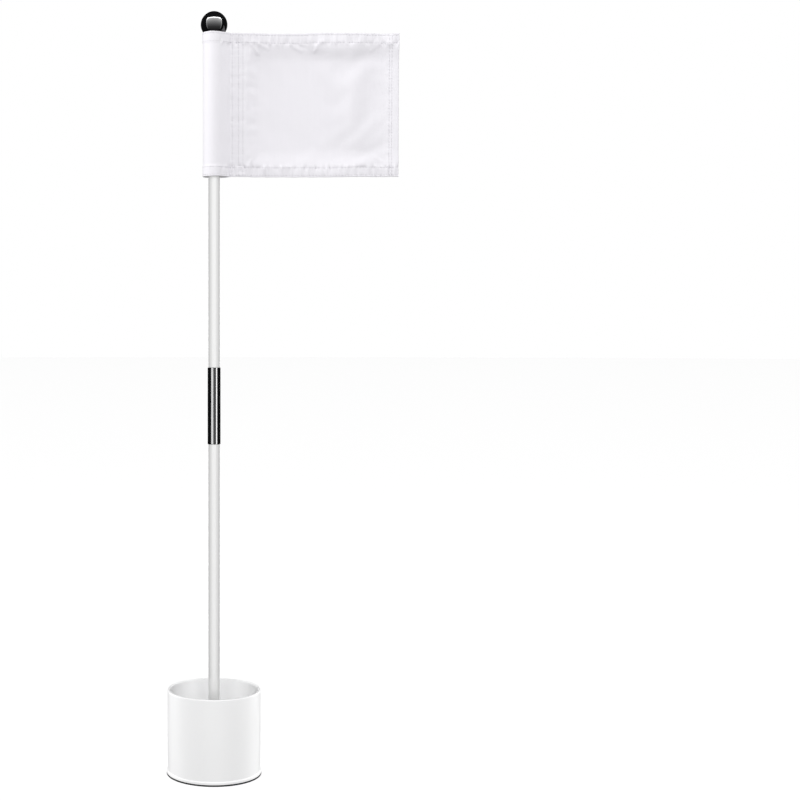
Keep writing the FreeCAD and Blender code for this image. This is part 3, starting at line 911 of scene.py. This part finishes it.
class Cloth:
    """The flag's one sheet of cloth: grids of its outer and inner surfaces over flat coordinates."""

    def __init__(self):
        hems = (EDGE_STITCH, HEM_STITCH, FLAG_HEIGHT - HEM_STITCH, FLAG_HEIGHT - EDGE_STITCH)
        folds = (HEM_FOLD, FLAG_HEIGHT - HEM_FOLD)
        self.s = stations(CLOTH_LENGTH, 1.15 * MM, [*FLY_ROWS, *FRONT_ROWS, *BACK_ROWS])
        self.v = stations(FLAG_HEIGHT, 1.5 * MM, [*hems, *folds])
        self.middle = np.zeros((len(self.s), len(self.v), 3))
        self.middle[..., :2] = along_path(self.s)[:, None]
        self.middle[..., 2] = FLAG_LOW + self.v
        self.settle()
        self.wrinkle()
        self.thicken()

    def settle(self):
        """Add the simulated shape to the flying part."""
        xs, zs, shift = fly_in_air()
        flying = self.s < PANEL_LENGTH
        places = self.middle[flying, 0, 0]
        moved = resample(shift, xs, places)
        moved = resample(moved.transpose(1, 0, 2), zs, self.middle[0, :, 2]).transpose(1, 0, 2)
        ease = smooth_step(places, BAND_END, BAND_END + 6 * MM)[:, None, None]
        self.middle[flying] += moved * ease

    def normals(self):
        """Outward normal of the middle surface at each grid point."""
        along = np.gradient(self.middle, self.s, axis=0)
        up = np.gradient(self.middle, self.v, axis=1)
        out = np.cross(up, along)
        return out / norm(out, axis=-1, keepdims=True)

    def masks(self):
        """Distances to the hems, and masks of the sleeve's loop and of its part tight on the tube."""
        s = self.s[:, None]
        v = self.v[None, :]
        self.to_hem = np.minimum(v, FLAG_HEIGHT - v)
        self.to_fly = s
        loop_start = front_length(BAND_START)
        loop_end = CLOTH_LENGTH - BAND_WIDTH
        self.loop = smooth_step(s, loop_start, loop_start + 4 * MM)
        self.loop = self.loop * (1 - smooth_step(s, loop_end - 4 * MM, loop_end))
        self.tight = np.clip((WRAP_RADIUS * 1.02 - self.middle[..., 0]) / (12 * MM), 0, 1) * self.loop

    def wrinkle(self):
        """Puckers at every stitched line, pull lines beside the band, short creases, uneven edges."""
        self.masks()
        s, v = self.s, self.v
        fine = noise_field(s, v, (260, 60), 1.7)
        finer = noise_field(s, v, (520, 120), 6.4)
        broad = noise_field(s, v, (70, 40), 9.2)
        upright = noise_field(s, v, (60, 300), 4.5)
        beside_hem = near(self.to_hem - HEM_STITCH, 3.6 * MM)
        on_hem = 1 - smooth_step(self.to_hem, HEM_STITCH, HEM_STITCH + 3 * MM)
        lift = beside_hem * (0.5 * fine + 0.25 * finer) * MM
        lift += on_hem * (0.48 * fine + 0.2 * finer + 0.2 * broad) * MM
        lift += near(self.to_fly - FLY_ROWS[0], 3 * MM) * 0.32 * upright * MM
        rows = np.array(FRONT_ROWS + BACK_ROWS)[:, None, None]
        beside_band = near(s[None, :, None] - rows, 2.6 * MM).max(axis=0)
        lift += beside_band * 0.26 * upright * MM
        pull = near(s - (PANEL_LENGTH - 9 * MM), 9 * MM)[:, None]
        lift += pull * 0.4 * noise_field(s, v, (45, 120), 2.2) * MM
        for start, end, height, width in CREASES:
            lift += height * MM * near(self.to_segment(start, end), width * MM)
        slack = self.loop * (1 - self.tight)
        lift += slack * (0.35 * broad + 0.25 * upright * near(self.to_hem - HEM_STITCH, 12 * MM)) * MM
        lift = np.where(self.tight > 0.5, np.maximum(lift * 0.4, -0.05 * MM), lift)
        lift += self.loop * 0.3 * MM * (1 - smooth_step(self.to_hem, HEM_FOLD - 1 * MM, HEM_FOLD + 1 * MM))
        self.middle += self.normals() * lift[..., None]
        ragged = np.array([noise.noise(Vector((a * 90, 8.8, 0))) for a in s])
        half = FLAG_HEIGHT / 2
        outwards = np.sign(v - half) * smooth_step(np.abs(v - half), half - 14 * MM, half)
        self.middle[..., 2] += 0.3 * MM * ragged[:, None] * outwards[None, :]

    def to_segment(self, start, end):
        """Distance of each grid point from a segment between two ends given as in CREASES."""
        way = np.array(end) - np.array(start)
        x = FLAG_END - self.s[:, None] - start[0]
        z = self.v[None, :] - start[1]
        share = np.clip((x * way[0] + z * way[1]) / float(way @ way), 0, 1)
        return np.hypot(x - share * way[0], z - share * way[1])

    def thicken(self):
        """Outer and inner surfaces: folded hems stand out on the inner side, and each stitched line
        sinks in, deepest at its needle holes.
        """
        s = self.s[:, None]
        v = self.v[None, :]
        from_edge = np.minimum(self.to_hem, self.to_fly)
        folded = 1 - smooth_step(from_edge, HEM_FOLD - 0.35 * MM, HEM_FOLD + 0.35 * MM)
        sleeve = self.loop >= 0.5
        band = (s > FRONT_ROWS[-1] - 2.5 * MM) & ~sleeve
        room = np.where(sleeve, 0.25 * MM, np.where(band, 0.1 * MM, HEM_EXTRA))
        lines = [(self.to_hem - HEM_STITCH, 0.9, s), (self.to_hem - EDGE_STITCH, 0.8, s)]
        lines += [(self.to_fly - row, 0.9, v) for row in FLY_ROWS]
        lines += [(s - row, 0.8, v) for row in FRONT_ROWS + BACK_ROWS]
        dimple = 0.0
        for distance, width, along in lines:
            holes = 0.6 + 0.4 * np.cos(along / STITCH_PITCH * TURN)
            dimple = np.maximum(dimple, near(distance, width * MM) * holes)
        normal = self.normals()
        sink = np.where(band | sleeve, 0.16 * MM, 0.3 * MM)
        self.outer = self.middle + normal * (HALF_CLOTH - sink * dimple)[..., None]
        under = HALF_CLOTH + folded * room - 0.08 * MM * dimple * ~sleeve
        self.inner = self.middle - normal * under[..., None]

    def piece(self):
        """Closed mesh of the sheet with rounded edges and flat coordinates as its UVs."""
        rows, columns = self.outer.shape[:2]
        count = rows * columns
        index = np.arange(count).reshape(rows, columns)
        border = np.concatenate([index[:, 0], index[-1, 1:], index[-2::-1, -1], index[0, -2:0:-1]])
        i, j = np.divmod(border, columns)
        way = np.zeros((len(border), 3))
        for row, beside in ((0, 1), (rows - 1, rows - 2)):
            way[i == row] = unit((self.middle[row] - self.middle[beside]).mean(axis=0))
        way[:, 2] += (j == columns - 1).astype(int) - (j == 0)
        way /= norm(way, axis=1, keepdims=True)
        outer, inner = self.outer[i, j], self.inner[i, j]
        half = norm(outer - inner, axis=1, keepdims=True) / 2
        edge = (outer + inner) / 2 + way * half
        vertices = np.concatenate([self.outer.reshape(-1, 3), self.inner.reshape(-1, 3), edge])
        faces = grid_faces(rows, columns)
        faces += [[count + k for k in face[::-1]] for face in faces]
        ring = 2 * count + np.arange(len(border))
        for low, high in ((border, ring), (ring, count + border)):
            faces += np.stack([low, np.roll(low, -1), np.roll(high, -1), high], axis=1).tolist()
        flat = np.stack(np.meshgrid(self.s, self.v, indexing="ij"), axis=-1).reshape(-1, 2)
        sizes = np.concatenate([flat, flat, flat[border]])
        return new_piece("flag_sheet", vertices, faces, FINISHES["flag_cloth"], sizes)

    def sample(self, surface, s, v):
        """Point of a surface grid at flat coordinates."""
        i = int(np.clip(np.searchsorted(self.s, s) - 1, 0, len(self.s) - 2))
        j = int(np.clip(np.searchsorted(self.v, v) - 1, 0, len(self.v) - 2))
        a = (s - self.s[i]) / (self.s[i + 1] - self.s[i])
        b = (v - self.v[j]) / (self.v[j + 1] - self.v[j])
        low = surface[i, j] * (1 - a) + surface[i + 1, j] * a
        high = surface[i, j + 1] * (1 - a) + surface[i + 1, j + 1] * a
        return low * (1 - b) + high * b


def stitch_mesh(name, cloth, rows):
    """Sewing thread of stitched lines, as one small bulged strand per stitch on each side.

    A row is its start and end in flat coordinates.
    """
    sides = 6
    steps = np.linspace(0, 1, 6)
    vertices = []
    faces = []
    for start, end in rows:
        start, end = np.array(start), np.array(end)
        count = int(norm(end - start) / STITCH_PITCH)
        way = (end - start) / count
        for number in range(count):
            low = start + way * (number + 0.1)
            high = start + way * (number + 0.9)
            for surface, other in ((cloth.outer, cloth.inner), (cloth.inner, cloth.outer)):
                first = len(vertices)
                a = cloth.sample(surface, *low)
                b = cloth.sample(surface, *high)
                middle = (low + high) / 2
                out = unit(cloth.sample(surface, *middle) - cloth.sample(other, *middle))
                side = unit(np.cross(b - a, out))
                for t in steps:
                    bulge = sin(pi * t)
                    centre = a * (1 - t) + b * t + out * (0.2 * bulge - 0.04) * MM
                    radius = (0.12 + 0.1 * bulge) * MM
                    for k in range(sides):
                        angle = k * TURN / sides
                        vertices.append(centre + radius * (side * cos(angle) + out * sin(angle)))
                faces += stack_faces(first, len(steps), sides)
    return new_piece(name, vertices, faces, THREAD)


def make_flag():
    """Flag cloth and the sewing thread of its hems and seam band."""
    cloth = Cloth()
    sheet = cloth.piece()
    edge = 0.9 * MM
    heights = [EDGE_STITCH, HEM_STITCH, FLAG_HEIGHT - HEM_STITCH, FLAG_HEIGHT - EDGE_STITCH]
    upright = [[((s, edge), (s, FLAG_HEIGHT - edge)) for s in rows] for rows in (FLY_ROWS, FRONT_ROWS)]
    level = [((edge, v), (CLOTH_LENGTH - edge, v)) for v in heights]
    hem_thread = stitch_mesh("hem_thread", cloth, upright[0] + level)
    band_thread = stitch_mesh("seam_thread", cloth, upright[1])
    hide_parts("flag_sleeve", "flag_panel")
    for piece in (sheet, hem_thread):
        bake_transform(piece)
    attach(band_thread, "flag_hoist")


# ---- studio

def make_stage():
    """Plain pale floor, so wide that its far edge lies on the horizon."""
    rings = (0.3, 1.0, 3.0, 30.0)
    sides = 48
    vertices = [(0, 0, 0)]
    for radius in rings:
        vertices += [(*on_circle(radius, k * TURN / sides), 0) for k in range(sides)]
    faces = [[0, 1 + k, 1 + (k + 1) % sides] for k in range(sides)]
    faces += ring_faces(1, len(rings), sides)
    floor = new_piece("studio_floor", vertices, faces, floor_paper())
    floor.visible_glossy = False
    floor.visible_diffuse = False
    return floor


def make_world():
    """White surroundings: full white to the eye, dimmer as light, and nearly dark in reflections."""
    world = bpy.data.worlds.new("studio")
    SCENE.world = world
    world.use_nodes = True
    tree = world.node_tree
    shader = tree.nodes["Background"]
    shader.inputs["Color"].default_value = (1, 1, 1, 1)
    path = add_node(tree, "ShaderNodeLightPath")
    lit = spread(tree, path.outputs["Is Camera Ray"], 0.46, 1.0, 0.0, 1.0)
    calc = calculator(tree)
    mirrored = calc("MULTIPLY", path.outputs["Is Glossy Ray"], -0.445)
    tree.links.new(calc("ADD", lit, mirrored), shader.inputs["Strength"])


def group_of(name, pieces):
    """Collection of the pieces that a light falls on."""
    group = bpy.data.collections.new(name)
    for piece in pieces:
        group.objects.link(piece)
    return group


def new_lamp(name, kind, energy, receivers):
    """Lamp that falls on a collection only."""
    light = bpy.data.lights.new(name, kind)
    light.energy = energy
    lamp = bpy.data.objects.new(name, light)
    SCENE.collection.objects.link(lamp)
    lamp.light_linking.receiver_collection = receivers
    return lamp


def direction(azimuth, elevation):
    """Unit vector from the object: azimuth 0 is the camera's side, positive to the right."""
    a, e = radians(azimuth), radians(elevation)
    return Vector((sin(a) * cos(e), -cos(a) * cos(e), sin(e)))


def softbox(name, way, target, distance, width, height, radiance, receivers):
    """Rectangular area light that faces its target from a direction."""
    lamp = new_lamp(name, "AREA", radiance * pi * width * height, receivers)
    lamp.data.shape = "RECTANGLE"
    lamp.data.size = width
    lamp.data.size_y = height
    lamp.location = Vector(target) + way * distance
    lamp.rotation_euler = way.to_track_quat("Z", "Y").to_euler()
    lamp.visible_camera = False
    return lamp


def light_floor(floor):
    """Even light on the floor alone, which keeps it white."""
    light = new_lamp("floor_light", "SUN", 2.4, group_of("floor_light_on", [floor])).data
    light.angle = 1.0
    light.use_shadow = False


def window_strength(tree, width, foot, head):
    """Radiance over the ball's window, which brightens upwards to a bright head.

    The window is wider at its head, its top corners are round, and its levels rise to the sides, as
    those of a window bent round the ball would. Its sides are a little brighter than its middle.
    """
    top = 0.8
    brightest = 26.0
    stops = [
        (-top, 0.06), (-0.45, 0.16), (-0.22, 0.34), (-0.05, 0.9), (0.12, 1.9), (0.30, 3.4), (0.50, 5.4),
        (0.655, 6.6), (0.675, brightest), (top, brightest),
    ]
    half_width, widening, bend, corner = 1.25, 0.45, 1.4, 0.3
    side_slope, side_start = 0.45, 0.26

    calc = calculator(tree)
    place = add_node(tree, "ShaderNodeNewGeometry").outputs["Parametric"]
    axes = add_node(tree, "ShaderNodeSeparateXYZ", {"Vector": place})
    across = calc("MULTIPLY", calc("SUBTRACT", axes.outputs["X"], 0.5), width)
    height = calc("ADD", calc("MULTIPLY", axes.outputs["Y"], head - foot), foot)
    rise = calc("MULTIPLY", calc("MULTIPLY", across, across), bend)
    level = calc("DIVIDE", height, calc("SQRT", calc("ADD", rise, 1.0)))
    slant = calc("MULTIPLY", calc("MAXIMUM", height, 0.0), widening)
    reach = calc("SUBTRACT", calc("ABSOLUTE", across), slant)
    past_level = calc("MAXIMUM", calc("SUBTRACT", level, top - corner), 0.0)
    past_reach = calc("MAXIMUM", calc("SUBTRACT", reach, half_width - corner), 0.0)
    rim = calc("SQRT", calc("ADD", *[calc("MULTIPLY", past, past) for past in (past_level, past_reach)]))
    limit = calc("ADD", calc("MULTIPLY", height, side_slope), side_start)
    side = calc("MINIMUM", calc("ADD", rim, top - corner), limit)
    side = calc("MULTIPLY", calc("ADD", side, top), calc("GREATER_THAN", past_reach, 0.0))
    share = calc("MULTIPLY", calc("MAXIMUM", calc("ADD", level, top), side), 0.5 / top)
    curve = add_node(tree, "ShaderNodeFloatCurve", {"Value": share})
    points = curve.mapping.curves[0].points
    while len(points) < len(stops):
        points.new(0.5, 0.5)
    for point, (stop, radiance) in zip(points, stops):
        point.location = ((stop + top) / (2 * top), radiance / brightest)
        point.handle_type = "VECTOR"
    curve.mapping.update()
    strength = calc("MULTIPLY", curve.outputs["Value"], brightest)
    return calc("MULTIPLY", strength, calc("LESS_THAN", rim, corner))


def light_ball(ball):
    """Wide window in front of the ball, and a dim one behind."""
    group = group_of("ball_light_on", [ball])
    centre = Vector((0, 0, BALL.high - BALL_RADIUS))
    width, foot, head = 4.4, -0.8, 2.0
    middle = centre + Vector((0, 0, (foot + head) / 2))
    window = softbox("window", direction(0, 0), middle, 0.5, width, head - foot, 1.0, group)
    window.data.use_nodes = True
    tree = window.data.node_tree
    tree.links.new(window_strength(tree, width, foot, head), tree.nodes["Emission"].inputs["Strength"])
    softbox("window_behind", direction(180, 12), centre, 1.5, 0.8, 0.8, 1.2, group)


def light_ferrule(ferrule):
    """Upright strips in front of the ferrule, and a dim one behind it."""
    group = group_of("ferrule_light_on", [ferrule])
    joint = (0, 0, (FERRULE.low + FERRULE.high) / 2)
    strips = [(-33.5, 0.8, 8.5), (-10, 0.45, 1.0), (15, 0.6, 0.75), (46, 0.46, 12.5), (180, 0.3, 1.6)]
    for number, (azimuth, width, radiance) in enumerate(strips):
        softbox(f"strip_{number}", direction(azimuth, -2), joint, 1.2, width, 1.1, radiance, group)


def light_pale(pieces):
    """Soft light, one set each for the cup's pieces, the two rods, and the flag with all that is left."""
    cup = [piece for piece in pieces if piece.name.startswith("cup")]
    rods = [piece for piece in pieces if piece.name.endswith("_rod")]
    rest = [piece for piece in pieces if piece not in cup + rods]
    low, inside, middle, high = (0, 0, 0.05), (0, 0.05, 0.078), (0, 0, 0.4), (0.08, 0, 0.75)
    sets = [
        ("cup_light_on", cup, [
            ("cup_front", (-2, 44), low, 2.0, 1.4, 1.2, 5.6),
            ("cup_left", (-118, 0.9), low, 4.0, 2.4, 0.18, 85.0),
            ("cup_right", (121, 0.9), low, 4.0, 2.4, 0.18, 100.0),
            ("cup_inside", (0, 30), inside, 0.038, 0.03, 0.02, 0.9),
        ]),
        ("rod_light_on", rods, [
            ("rod_front", (0, 3), middle, 2.2, 4.0, 2.4, 1.75),
            ("rod_behind", (180, 3), middle, 2.2, 1.4, 2.4, 2.4),
        ]),
        ("flag_light_on", rest, [
            ("flag_front", (-6, 42), high, 2.0, 1.4, 1.2, 4.2),
            ("flag_left", (-80, 12), high, 2.0, 1.2, 2.0, 3.2),
            ("flag_right", (55, 10), high, 2.0, 1.2, 2.0, 1.3),
            ("flag_behind", (165, 25), high, 2.0, 1.4, 1.2, 3.6),
        ]),
    ]
    for group_name, lit, boxes in sets:
        group = group_of(group_name, lit)
        for name, angles, *sizes in boxes:
            softbox(name, direction(*angles), *sizes, group)


def make_lights(floor, ferrule, ball):
    """Windows and strips for the two gloss black pieces, and soft light for the others."""
    pieces = [thing for thing in SCENE.objects if thing.type == "MESH"]
    light_pale([piece for piece in pieces if piece not in (floor, ferrule, ball)])
    light_floor(floor)
    light_ball(ball)
    light_ferrule(ferrule)


def make_camera():
    """Camera at the photo's viewing angle: a little above the middle, pitched down a little."""
    data = bpy.data.cameras.new("camera")
    data.sensor_width = 36.0
    data.lens = 65.41
    data.shift_x = 0.2324
    camera = bpy.data.objects.new("camera", data)
    camera.location = (0, -1.6387, 0.5)
    camera.rotation_euler = (radians(90 - 2.6), 0, 0)
    SCENE.collection.objects.link(camera)
    SCENE.camera = camera


# ---- the whole scene

make_pad()
make_cup()
make_floor_plate()
make_tip()
make_rod("lower_pole_rod", "lower_rod", "lower_pole")
make_rod("upper_pole_rod", "upper_rod", "upper_pole")
ferrule_piece = make_ferrule()
make_stud()
stud_bore = STUD.radius + THREAD_GAP
washer_bore = STUD.radius + RUNNING_GAP
tube_bore = TUBE.radius - TUBE_WALL
for ring_row in (
    ("brass_collar", "spacer_collar", "upper_pole", "brass", stud_bore, 0.2),
    ("nylon_washer", "thrust_washer", "upper_pole", "nylon", COLLAR.radius, 0.15),
    ("ball_washer", "knob_washer", "knob_lift", "nylon", washer_bore, 0.15),
    ("brass_insert", "knob_insert", "knob", "brass", stud_bore, 0.3),
    ("sleeve_tube", "flag_tube", "flag_hoist", "tube_plastic", tube_bore, 0.2),
):
    make_ring(*ring_row)
make_cap()
make_bush()
ball_piece = make_ball()
make_flag()
floor_piece = make_stage()
make_world()
make_lights(floor_piece, ferrule_piece, ball_piece)
make_camera()
SCENE.view_settings.view_transform = "Standard"
